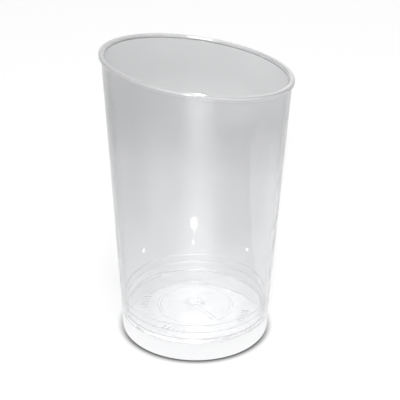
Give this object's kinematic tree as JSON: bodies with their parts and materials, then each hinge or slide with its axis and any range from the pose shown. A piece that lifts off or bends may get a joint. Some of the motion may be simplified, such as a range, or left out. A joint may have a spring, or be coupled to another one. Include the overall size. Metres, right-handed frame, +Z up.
{
  "type": "plastic finger food cup",
  "caption": "Clear tapered round finger food cup with a slanted mouth, a beaded rim, a raised floor and an open foot ring.",
  "frame": {"origin": "centre of the foot ring, on the surface the cup stands on", "axes": "+Z up the cup's axis; the slanted mouth is highest at -X and lowest at +X, and apart from small plain marks under the floor the cup is the same on its +Y and -Y sides"},
  "size_m": [0.049, 0.0494, 0.0781],
  "materials": {
    "clear_plastic": "clear injection-moulded polystyrene, smooth and glossy, with a faint grey haze"
  },
  "bodies": {
    "root": {"cup": "clear_plastic"}
  },
  "joints": []
}
